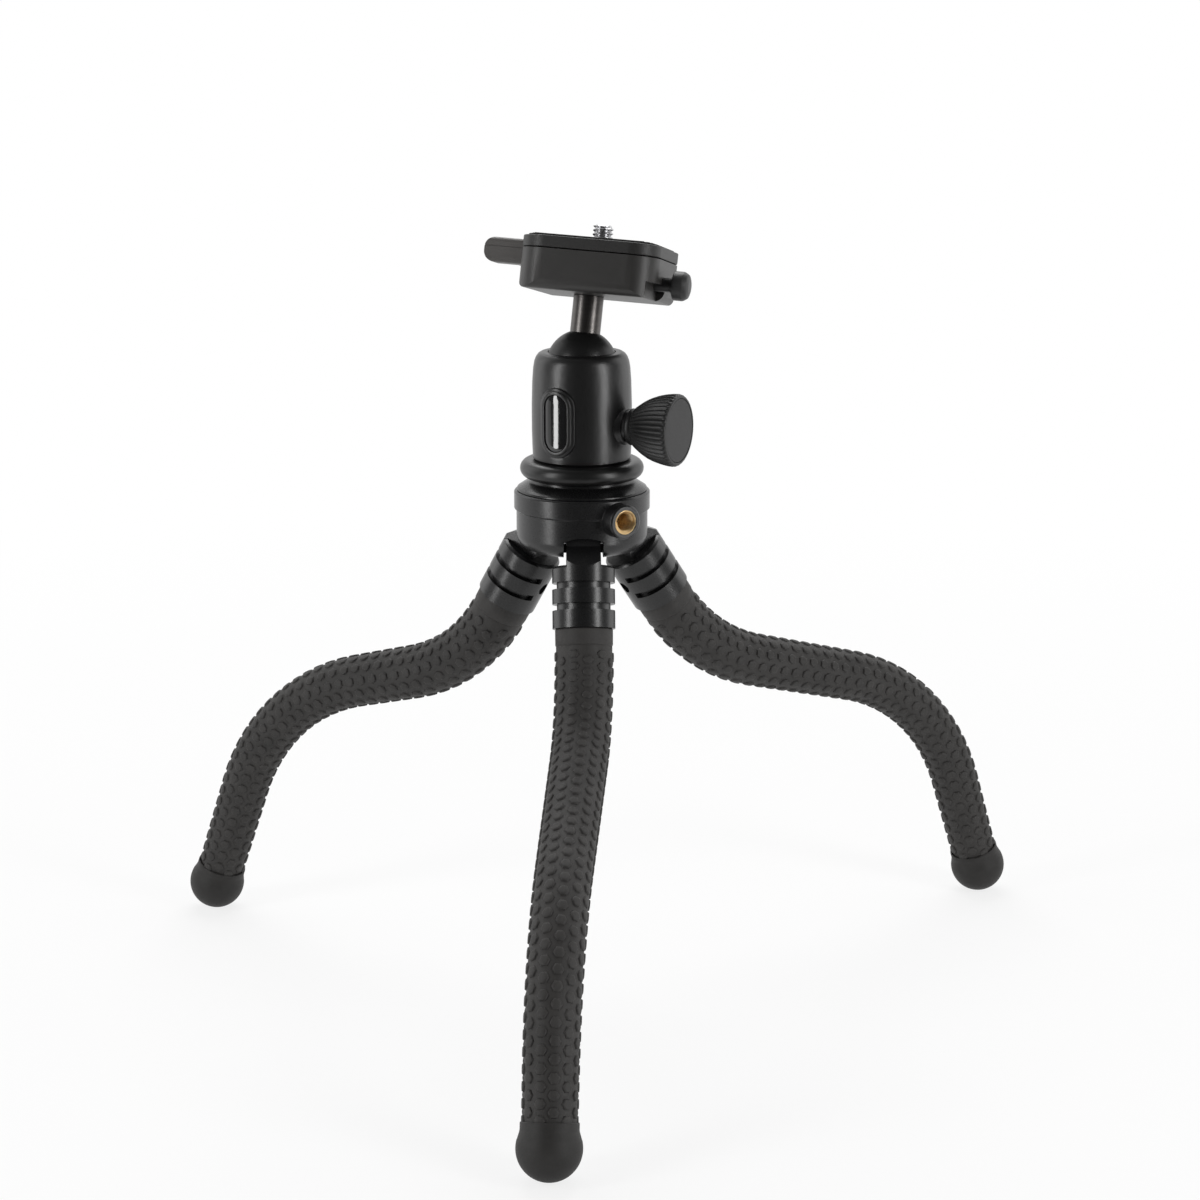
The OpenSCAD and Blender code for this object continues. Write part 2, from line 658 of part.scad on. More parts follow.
module leg_sleeve_middle(i) {
    j = joint_1(i);
    k = joint_2(i);
    color([0.15, 0.15, 0.145])
        ring_loop(concat(rim_ring(i, j), outer_rings(i, j + rim(i, j) + rim_step, k, 14), dome(i, k),
            inner_rings(i, k, j + cup_depth(i, j) + cup_step, 8), cup(i, j)), sides);
}

module leg_sleeve_lower(i) {
    k = joint_2(i);
    e = leg_length[i] - leg_end;
    color([0.15, 0.15, 0.145])
        ring_loop(concat(rim_ring(i, k), outer_rings(i, k + rim(i, k) + rim_step, e, 9),
            inner_rings(i, e, k + cup_depth(i, k) + cup_step, 6), cup(i, k)), sides);
}

module leg_core(i) {
    n = 10;
    color([0.7, 0.7, 0.7]) ring_rod([for (s = steps(core_start, leg_length[i] - leg_end, 30))
        let (f = leg_at(i, s)) ring(f[0], f[1], side_of(i), core_d / 2, n)], n);
}

module leg_foot(i) {
    lip = sleeve_end_d / 2 + 0.65;
    color([0.13, 0.13, 0.125]) at_foot(i) difference() {
        union() {
            sphere(r = foot_r);
            translate([0, 0, -7]) cylinder(r = lip, h = 7);
            translate([0, 0, -4.4]) cylinder(r1 = lip, r2 = foot_r * 0.985, h = 2.8);
        }
        translate([0, 0, -12]) cylinder(r = sleeve_end_d / 2 + 0.06, h = 12 - leg_end);
    }
}

module front_socket() { leg_socket(0); }
module right_socket() { leg_socket(1); }
module left_socket() { leg_socket(2); }
module front_socket_screw() { leg_socket_screw(0); }
module right_socket_screw() { leg_socket_screw(1); }
module left_socket_screw() { leg_socket_screw(2); }
module front_sleeve_upper() { leg_sleeve_upper(0); }
module right_sleeve_upper() { leg_sleeve_upper(1); }
module left_sleeve_upper() { leg_sleeve_upper(2); }
module front_sleeve_middle() { leg_sleeve_middle(0); }
module right_sleeve_middle() { leg_sleeve_middle(1); }
module left_sleeve_middle() { leg_sleeve_middle(2); }
module front_sleeve_lower() { leg_sleeve_lower(0); }
module right_sleeve_lower() { leg_sleeve_lower(1); }
module left_sleeve_lower() { leg_sleeve_lower(2); }
module front_core() { leg_core(0); }
module right_core() { leg_core(1); }
module left_core() { leg_core(2); }
module front_foot() { leg_foot(0); }
module right_foot() { leg_foot(1); }
module left_foot() { leg_foot(2); }

collar_body();
collar_cap();
accessory_insert();
hip_pins();
centre_bolt();
base_ring();
ball_housing();
housing_inlay();
pressure_plunger();
ball_seat();
ball();
knob_screw();
lock_knob();
knob_cap();
head_stem();
clamp_body();
clamp_screw();
release_lever();
lever_pin();
safety_button();
button_spring();
camera_plate();
plate_pad();
camera_screw();
front_socket();
right_socket();
left_socket();
front_socket_screw();
right_socket_screw();
left_socket_screw();
front_sleeve_upper();
right_sleeve_upper();
left_sleeve_upper();
front_sleeve_middle();
right_sleeve_middle();
left_sleeve_middle();
front_sleeve_lower();
right_sleeve_lower();
left_sleeve_lower();
front_core();
right_core();
left_core();
front_foot();
right_foot();
left_foot();
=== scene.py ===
"""Table-top tripod with flexible legs: the dressed model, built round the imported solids.

The frame is in metres, +Z up, floor at z = 0, front leg toward -Y. Shape numbers in this file are
millimetres, and turn into metres where a mesh is made. Bearings run from the front (-Y) toward +X.
"""
import json
import math

import bmesh
import bpy
import numpy as np
from mathutils import Matrix, Vector


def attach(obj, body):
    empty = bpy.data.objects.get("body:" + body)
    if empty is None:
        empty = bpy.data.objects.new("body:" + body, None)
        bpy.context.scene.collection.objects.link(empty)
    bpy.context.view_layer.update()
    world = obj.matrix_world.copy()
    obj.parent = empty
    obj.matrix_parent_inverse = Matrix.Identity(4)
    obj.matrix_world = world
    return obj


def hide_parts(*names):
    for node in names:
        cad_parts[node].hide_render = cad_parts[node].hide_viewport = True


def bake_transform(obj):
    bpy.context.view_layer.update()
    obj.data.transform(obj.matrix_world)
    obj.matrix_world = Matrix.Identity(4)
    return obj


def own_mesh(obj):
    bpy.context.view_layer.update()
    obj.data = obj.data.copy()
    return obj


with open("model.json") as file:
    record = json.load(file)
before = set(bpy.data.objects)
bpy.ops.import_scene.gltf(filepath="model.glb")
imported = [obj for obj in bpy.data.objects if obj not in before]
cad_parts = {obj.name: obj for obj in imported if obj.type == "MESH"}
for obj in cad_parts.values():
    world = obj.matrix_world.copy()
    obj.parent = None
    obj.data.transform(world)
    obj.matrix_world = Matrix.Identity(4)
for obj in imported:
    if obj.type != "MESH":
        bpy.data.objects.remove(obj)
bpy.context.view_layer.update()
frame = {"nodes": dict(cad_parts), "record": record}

MM = 0.001
NODES = frame["nodes"]
BODY_OF = {n: b for b, ns in frame["record"]["behaviour"]["bodies"].items() for n in ns}
UP = np.array([0.0, 0.0, 1.0])
scene = bpy.context.scene

# Sizes shared with the solids
COLLAR_Z = 142.2
COLLAR_D = 42.0
PIN_R = 14.0
PIN_Z = COLLAR_Z + 5.4
AXIS_OFF = -0.8
NECK_DROP = 8.4
SOCKET_LEN = 19.0
FIRST_RUN = 5.0
UPPER_ARC = 42.0
LOWER_ARC = 66.0
SLEEVE_D = 17.8
SLEEVE_END_D = 15.0
CORE_R = 2.5
FOOT_R = 9.2
LEG_END = 1.8
HOUSE_Z = 170.2
HOUSE_R = 15.4
INLAY_BEARING = -32.0
INLAY_Z = HOUSE_Z + 13.2
RING_Z = 164.6
BALL_Z = 199.1
KNOB_Z = 181.4
KNOB_BEARING = 62.0
KNOB_R0 = 17.0
SOCKET_BEARING = 30.0
SOCKET_Z = COLLAR_Z + 12.3
BOSS_FACE = COLLAR_D / 2 + 4.5
THREAD_R = 3.175
THREAD_PITCH = 1.27
HEAD_TILT = 12.0
TILT_AXIS = 148.6
CLAMP_YAW = -17.0
CLAMP_OFF = 2.4
CLAMP_W, CLAMP_D, CLAMP_BASE, CLAMP_H = 43.0, 38.0, 21.3, 12.2
CLAMP_CORNER = 8.6
PLATE_Z = CLAMP_BASE + CLAMP_H + 0.3
PAD_Z = PLATE_Z + 3.5
PAD_T = 0.8
STUD_LEN = 5.0
BOLT_HOLE_R = 3.33


# Directions and places

def unit(v):
    return v / np.linalg.norm(v)


def turn(v, k, degrees):
    """Vector v turned about the unit axis k."""
    a = math.radians(degrees)
    return v * math.cos(a) + np.cross(k, v) * math.sin(a) + k * (k @ v) * (1 - math.cos(a))


def bearing(degrees):
    """Level direction at a bearing."""
    a = math.radians(degrees)
    return np.array([math.sin(a), -math.cos(a), 0.0])


def placed(x, y, z, p):
    """Matrix with these axes, from millimetres to metres."""
    m = Matrix.Identity(4)
    for c, axis in enumerate((x, y, z)):
        for r in range(3):
            m[r][c] = float(axis[r]) * MM
    for r in range(3):
        m[r][3] = float(p[r]) * MM
    return m


def facing(degrees, height):
    """Local z along a level bearing, local x up."""
    k = bearing(degrees)
    return placed(UP, (k[1], -k[0], 0), k, (0, 0, height))


def head_frame(off=0.0):
    """Local z along the tilted stem, from the ball centre."""
    a = math.radians(TILT_AXIS)
    axis = np.array([math.cos(a), math.sin(a), 0.0])
    x, y, z = [turn(turn(v, UP, CLAMP_YAW), axis, HEAD_TILT) for v in np.eye(3)]
    return placed(x, y, z, np.array([0, 0, BALL_Z]) + x * off)


UPRIGHT = placed((1, 0, 0), (0, 1, 0), (0, 0, 1), (0, 0, 0))
CLAMP = head_frame(CLAMP_OFF)


class Leg:
    """Centre line of one leg: straight, bend, straight, bend, straight down to the foot."""

    def __init__(self, name, at_bearing, length, lean, bends, side_turns=(0.0, 0.0)):
        self.name, self.length, self.bends = name, length, bends
        out = bearing(at_bearing)
        self.side = np.cross(UP, out)
        a = math.radians(lean)
        self.d0 = out * math.sin(a) - UP * math.cos(a)
        lift = out * math.cos(a) + UP * math.sin(a)
        self.root = out * PIN_R + UP * PIN_Z + lift * AXIS_OFF + self.d0 * (NECK_DROP + SOCKET_LEN)
        self.k1 = turn(-self.side, self.d0, side_turns[0])
        self.d1 = turn(self.d0, self.k1, bends[0])
        flat = unit(-self.side - self.d1 * (-self.side @ self.d1))
        self.k2 = turn(flat, self.d1, side_turns[1])
        self.d2 = turn(self.d1, self.k2, -bends[1])
        self.b1 = self.root + self.d0 * FIRST_RUN
        self.m0 = self.arc(self.b1, self.d0, self.k1, UPPER_ARC, bends[0], bends[0])
        swing = self.arc(np.zeros(3), self.d1, self.k2, LOWER_ARC, -bends[1], -bends[1])
        spare = length - FIRST_RUN - UPPER_ARC - LOWER_ARC
        drop = self.m0[2] + swing[2] - FOOT_R
        self.run = (drop + spare * self.d2[2]) / (self.d2[2] - self.d1[2])
        self.m1 = self.m0 + self.d1 * self.run
        self.b2 = self.m1 + swing
        self.s1 = FIRST_RUN + UPPER_ARC
        self.s2 = self.s1 + self.run
        self.s3 = self.s2 + LOWER_ARC
        self.middle = (self.s1 + self.s2) / 2

    @staticmethod
    def arc(p, d, k, length, full, degrees):
        """Point some degrees round a bend that leaves p toward d and turns the full angle in its length."""
        c = p + np.cross(k, d) * (length / math.radians(full))
        return c + turn(p - c, k, degrees)

    def at(self, s):
        """Point and direction at a distance s below the socket."""
        if s <= FIRST_RUN:
            return self.root + self.d0 * s, self.d0
        if s <= self.s1:
            a = self.bends[0] * (s - FIRST_RUN) / UPPER_ARC
            p = self.arc(self.b1, self.d0, self.k1, UPPER_ARC, self.bends[0], a)
            return p, turn(self.d0, self.k1, a)
        if s <= self.s2:
            return self.m0 + self.d1 * (s - self.s1), self.d1
        if s <= self.s3:
            a = -self.bends[1] * (s - self.s2) / LOWER_ARC
            p = self.arc(self.m1, self.d1, self.k2, LOWER_ARC, -self.bends[1], a)
            return p, turn(self.d1, self.k2, a)
        return self.b2 + self.d2 * (s - self.s3), self.d2

    def frame_at(self, s):
        """Point on the line and the two directions across it."""
        p, t = self.at(s)
        u = unit(self.side - t * (self.side @ t))
        return p, u, np.cross(t, u)

    def radius(self, s):
        """Radius of the sleeve, which tapers toward the foot."""
        return (SLEEVE_D + (SLEEVE_END_D - SLEEVE_D) * s / self.length) / 2

    def foot_matrix(self):
        """Frame at the centre of the foot, local z down the last straight."""
        u = unit(self.side - self.d2 * (self.side @ self.d2))
        return placed(u, np.cross(self.d2, u), self.d2, self.at(self.length)[0])


LEGS = [
    Leg("front", 0, 180.0, 18.6, (51.0, 47.0), (7.8, 3.3)),
    Leg("right", 120, 189.0, 35.0, (39.5, 55.5)),
    Leg("left", -120, 174.0, 30.0, (45.0, 55.0)),
]


# Materials

class Graph:
    """Small helper for wiring a node tree."""

    def __init__(self, tree):
        self.tree = tree
        tree.nodes.clear()

    def add(self, kind, settings=None, **sockets):
        node = self.tree.nodes.new(kind)
        for key, value in (settings or {}).items():
            setattr(node, key, value)
        for key, value in sockets.items():
            self.put(node, key.replace("_", " "), value)
        return node

    def put(self, node, socket, value):
        target = node.inputs[socket]
        if isinstance(value, bpy.types.NodeSocket):
            self.tree.links.new(value, target)
        else:
            target.default_value = value

    def maths(self, operation, *values):
        """Result of a math node fed with these values."""
        node = self.add("ShaderNodeMath", {"operation": operation})
        for index, value in enumerate(values):
            self.put(node, index, value)
        return node.outputs[0]

    def mix(self, share, first, second):
        """Shader that goes from the first to the second with the share."""
        node = self.add("ShaderNodeMixShader", Fac=share)
        self.put(node, 1, first.outputs[0])
        self.put(node, 2, second.outputs[0])
        return node.outputs[0]


# the values of each noise between which the colour and the gloss change
CLOUD_SPREAD = (0.32, 0.68)
GRAIN_SPREAD = (0.3, 0.7)
GRAIN_DEPTH = 0.1 * MM
COAT_ROUGH = 0.08


def surface(name, colour, rough, metallic=0.0, specular=0.5, mottle=(90.0, 0.12), grain=(2600.0, 0.12),
            rough_swing=0.05, coat=0.0, stretch=(1.0, 1.0, 1.0)):
    """Moulded, coated or turned surface: soft colour variation, uneven gloss and a fine relief."""
    mat = bpy.data.materials.new(name)
    mat.use_nodes = True
    g = Graph(mat.node_tree)
    coords = g.add("ShaderNodeTexCoord")
    fit = g.add("ShaderNodeMapping", Vector=coords.outputs["Object"], Scale=stretch)
    place = fit.outputs["Vector"]
    cloud = g.add("ShaderNodeTexNoise", Vector=place, Scale=mottle[0], Detail=4.0, Roughness=0.6)
    tone = g.add("ShaderNodeValToRGB", Fac=cloud.outputs["Fac"])
    shades = (1 - mottle[1], 1 + mottle[1])
    for stop, at, shade in zip(tone.color_ramp.elements, CLOUD_SPREAD, shades):
        stop.position = at
        stop.color = [c * shade for c in colour] + [1]
    fine = g.add("ShaderNodeTexNoise", Vector=place, Scale=grain[0], Detail=3.0, Roughness=0.55)
    gloss = g.add("ShaderNodeMapRange", Value=fine.outputs["Fac"])
    g.put(gloss, "From Min", GRAIN_SPREAD[0])
    g.put(gloss, "From Max", GRAIN_SPREAD[1])
    g.put(gloss, "To Min", max(rough - rough_swing, 0.02))
    g.put(gloss, "To Max", min(rough + rough_swing, 1.0))
    relief = g.add("ShaderNodeBump", Height=fine.outputs["Fac"], Strength=grain[1], Distance=GRAIN_DEPTH)
    shader = g.add("ShaderNodeBsdfPrincipled", Roughness=gloss.outputs["Result"], Metallic=metallic,
                   Normal=relief.outputs["Normal"])
    g.put(shader, "Base Color", tone.outputs["Color"])
    g.put(shader, "Specular IOR Level", specular)
    if coat:
        g.put(shader, "Coat Weight", coat)
        g.put(shader, "Coat Roughness", COAT_ROUGH)
    out = g.add("ShaderNodeOutputMaterial", Surface=shader.outputs["BSDF"])
    mat.node_tree.nodes.active = out
    return mat


FINISHES = {
    "black_plastic": dict(colour=(0.006, 0.006, 0.0063), rough=0.3, specular=0.48, grain=(3600, 0.03)),
    "cap_plastic": dict(colour=(0.005, 0.005, 0.0052), rough=0.26, specular=0.35, grain=(3600, 0.02)),
    "ring_plastic": dict(colour=(0.0055, 0.0055, 0.0055), rough=0.34, specular=0.4, grain=(2200, 0.05)),
    "socket_plastic": dict(colour=(0.006, 0.006, 0.0063), rough=0.3, specular=0.5, grain=(3600, 0.03)),
    "sleeve_rubber": dict(colour=(0.031, 0.0292, 0.0278), rough=0.62, specular=0.32, mottle=(140, 0.16),
                          grain=(3200, 0.3), rough_swing=0.08),
    "foot_rubber": dict(colour=(0.021, 0.0199, 0.0189), rough=0.6, specular=0.3, mottle=(160, 0.14),
                        grain=(3000, 0.22), rough_swing=0.07),
    "black_metal": dict(colour=(0.006, 0.0059, 0.006), rough=0.34, specular=0.5, grain=(3800, 0.06)),
    "gloss_inlay": dict(colour=(0.004, 0.004, 0.0045), rough=0.07, specular=0.6, mottle=(60, 0.1),
                        grain=(500, 0.01), rough_swing=0.02, coat=0.6),
    "ball_black": dict(colour=(0.0055, 0.0055, 0.0055), rough=0.38, specular=0.35, grain=(3000, 0.09)),
    "gunmetal": dict(colour=(0.085, 0.08, 0.077), rough=0.32, metallic=1.0, mottle=(160, 0.1),
                     grain=(900, 0.05), rough_swing=0.05, stretch=(1.0, 1.0, 9.0)),
    "knob_rubber": dict(colour=(0.012, 0.012, 0.012), rough=0.45, specular=0.35, grain=(2600, 0.12)),
    "knob_face": dict(colour=(0.024, 0.0235, 0.024), rough=0.55, specular=0.32, grain=(3400, 0.16)),
    "clamp_plastic": dict(colour=(0.023, 0.022, 0.021), rough=0.42, specular=0.42, grain=(2400, 0.2)),
    "plate_plastic": dict(colour=(0.016, 0.0155, 0.015), rough=0.46, specular=0.38, grain=(2400, 0.18)),
    "lever_plastic": dict(colour=(0.085, 0.08, 0.076), rough=0.45, specular=0.42, grain=(2400, 0.1)),
    "button_plastic": dict(colour=(0.022, 0.022, 0.022), rough=0.42, specular=0.4, grain=(2400, 0.1)),
    "pad_rubber": dict(colour=(0.02, 0.0195, 0.019), rough=0.8, specular=0.25, mottle=(400, 0.3),
                       grain=(4200, 0.35)),
    "brass": dict(colour=(0.74, 0.53, 0.27), rough=0.4, metallic=1.0, mottle=(500, 0.12),
                  grain=(2400, 0.07)),
    "steel": dict(colour=(0.52, 0.52, 0.53), rough=0.3, metallic=1.0, mottle=(400, 0.08),
                  grain=(2600, 0.06)),
    "black_steel": dict(colour=(0.07, 0.07, 0.074), rough=0.36, metallic=1.0, mottle=(400, 0.15),
                        grain=(2600, 0.08)),
    "nylon": dict(colour=(0.72, 0.71, 0.67), rough=0.48, specular=0.4, mottle=(200, 0.04),
                  grain=(2000, 0.06)),
    "core_aluminium": dict(colour=(0.66, 0.66, 0.67), rough=0.38, metallic=1.0, mottle=(300, 0.08),
                           grain=(2200, 0.12)),
}
LOOK = {name: surface(name, **finish) for name, finish in FINISHES.items()}


# Making pieces

# points this close are one, faces this flat are one, and edges sharper than the last get rounded
WELD = 0.002 * MM
FLAT = math.radians(0.5)
CRISP = math.radians(32.0)


def linked(name, data):
    """Object in the scene with this mesh, light or camera."""
    obj = bpy.data.objects.new(name, data)
    scene.collection.objects.link(obj)
    return obj


def from_bmesh(name, bm):
    """Mesh object from an edit mesh that is ready."""
    mesh = bpy.data.meshes.new(name)
    bm.to_mesh(mesh)
    bm.free()
    return linked(name, mesh)


def welded_solid(node):
    """Edit mesh of a solid with its doubled points joined."""
    bm = bmesh.new()
    bm.from_mesh(NODES[node].data)
    bmesh.ops.remove_doubles(bm, verts=bm.verts, dist=WELD)
    return bm


def merge_flats(bm):
    """One face in place of the triangles of a flat one."""
    bmesh.ops.dissolve_limit(bm, angle_limit=FLAT, verts=bm.verts, edges=bm.edges)


def new_piece(name, verts, faces, matrix=None):
    """Mesh object from points in millimetres in the frame that matrix gives."""
    mesh = bpy.data.meshes.new(name)
    m = np.array(UPRIGHT if matrix is None else matrix)
    pts = np.asarray(verts, float) @ m[:3, :3].T + m[:3, 3]
    mesh.from_pydata(pts.tolist(), [], [list(f) for f in faces])
    mesh.validate()
    mesh.update()
    return linked(name, mesh)


def finish_piece(obj, look, sharp=40.0, weighted=True):
    """Material slot, smooth shading with crisp edges."""
    obj.data.materials.clear()
    obj.data.materials.append(LOOK[look])
    obj.data.shade_smooth()
    obj.data.set_sharp_from_angle(angle=math.radians(sharp))
    if weighted:
        even = obj.modifiers.new("even_normals", "WEIGHTED_NORMAL")
        even.keep_sharp = True
    return obj


def stand_for(obj, look, *nodes, sharp=40.0, weighted=True):
    """The piece takes the place of these solids and moves with their body."""
    finish_piece(obj, look, sharp, weighted)
    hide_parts(*nodes)
    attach(obj, BODY_OF[nodes[0]])
    return obj


def refine(node, look, edge):
    """A solid with its edges rounded as a moulded or machined one has them."""
    bm = welded_solid(node)
    merge_flats(bm)
    crisp = [e for e in bm.edges if len(e.link_faces) == 2 and e.calc_face_angle() > CRISP]
    bmesh.ops.bevel(bm, geom=crisp, offset=edge * MM, offset_type="OFFSET", segments=2, profile=0.5,
                    affect="EDGES", clamp_overlap=True)
    bmesh.ops.remove_doubles(bm, verts=bm.verts, dist=WELD)
    return stand_for(from_bmesh(node + "_shape", bm), look, node)


def ring_skin(rows, closed=False):
    """Faces between rows of points that go round, each row as long as the next."""
    n = len(rows[0])
    verts = [p for row in rows for p in row]
    faces = []
    last = len(rows) if closed else len(rows) - 1
    for j in range(last):
        a, b = j * n, ((j + 1) % len(rows)) * n
        for k in range(n):
            k2 = (k + 1) % n
            faces.append((a + k, a + k2, b + k2, b + k))
    return verts, faces


def circle_row(r, z, segs):
    """Ring of points at height z; the radius may change from point to point."""
    a = np.arange(segs) * 2 * math.pi / segs
    r = np.broadcast_to(r, segs)
    return np.stack([r * np.cos(a), r * np.sin(a), np.broadcast_to(z, segs)], 1)


def lathe(name, profile, matrix=None, segs=96):
    """Turned shape. A profile that starts and ends on the axis is a solid, any other is a closed ring."""
    on_axis = profile[0][0] == 0
    inner = profile[1:-1] if on_axis else profile
    verts, faces = ring_skin([circle_row(r, z, segs) for r, z in inner], closed=not on_axis)
    if on_axis:
        first, last = len(verts), len(verts) + 1
        verts += [np.array([0, 0, profile[0][1]]), np.array([0, 0, profile[-1][1]])]
        top = (len(inner) - 1) * segs
        for k in range(segs):
            k2 = (k + 1) % segs
            faces.append((first, k2, k))
            faces.append((last, top + k, top + k2))
    return new_piece(name, verts, faces, matrix)


def rounded(points, r, steps=4):
    """A profile with its inner corners rounded to radius r."""
    pts = [np.array(p, float) for p in points]
    out = [tuple(pts[0])]
    for a, b, c in zip(pts, pts[1:], pts[2:]):
        cut = min(r, np.linalg.norm(a - b) * 0.45, np.linalg.norm(c - b) * 0.45)
        p, q = b + unit(a - b) * cut, b + unit(c - b) * cut
        for k in range(steps + 1):
            t = k / steps
            out.append(tuple((1 - t) ** 2 * p + 2 * t * (1 - t) * b + t * t * q))
    out.append(tuple(pts[-1]))
    return out


def rounded_loop(points, r, steps=4):
    """The same for a profile that closes on itself."""
    n = len(points)
    out = rounded([points[-1], *points, points[0]], r, steps)
    return out[1:1 + n * (steps + 1)]


def tube(path, radius, sides, side_hint):
    """Rows of points round a path given as points and directions."""
    rows = []
    for p, t in path:
        u = unit(side_hint - t * (side_hint @ t))
        v = np.cross(t, u)
        a = np.arange(sides) * 2 * math.pi / sides
        rows.append([p + (u * math.cos(x) + v * math.sin(x)) * radius for x in a])
    return rows


def rod_skin(rows):
    """Closed skin of a rod through rows of points."""
    n = len(rows[0])
    verts, faces = ring_skin(rows)
    faces.append(tuple(range(n))[::-1])
    faces.append(tuple(range(len(verts) - n, len(verts))))
    return verts, faces


def rod(name, rows, matrix=None):
    """Closed rod through rows of points."""
    return new_piece(name, *rod_skin(rows), matrix)


# Legs

# pads round the sleeve, spacing of their rows, and the smooth band above them
COLUMNS = 12
PITCH = 4.55
BAND = 5.3
TEXTURE_START = 6.4
TEXTURE_END = 5.0
PAD_RADIUS = (1.74, 1.55, 1.42, 0.95)
PAD_HEIGHT = (-0.05, 0.34, 0.43, 0.47)
PAD_CROWN = 0.48
HEX_POINTS = 12
SKIN_INSET = 0.2
END_BEVEL = 0.3
BORE_R = CORE_R + 0.15
UPPER_BORE_RINGS, LOWER_BORE_RINGS = 14, 18
# distance down the sleeve and height off its skin, along the smooth band at the top
BAND_EDGE = [(0.0, -0.15), (0.25, 0.12), (0.6, 0.2), (2.6, 0.2), (BAND - 0.3, 0.2), (BAND - 0.1, 0.1),
             (BAND + 0.05, -0.06), (BAND + 0.3, 0.0)]
# turn of the pads round each leg, in columns
PHASE = {"front": -0.23, "right": 0.25, "left": 0.25}


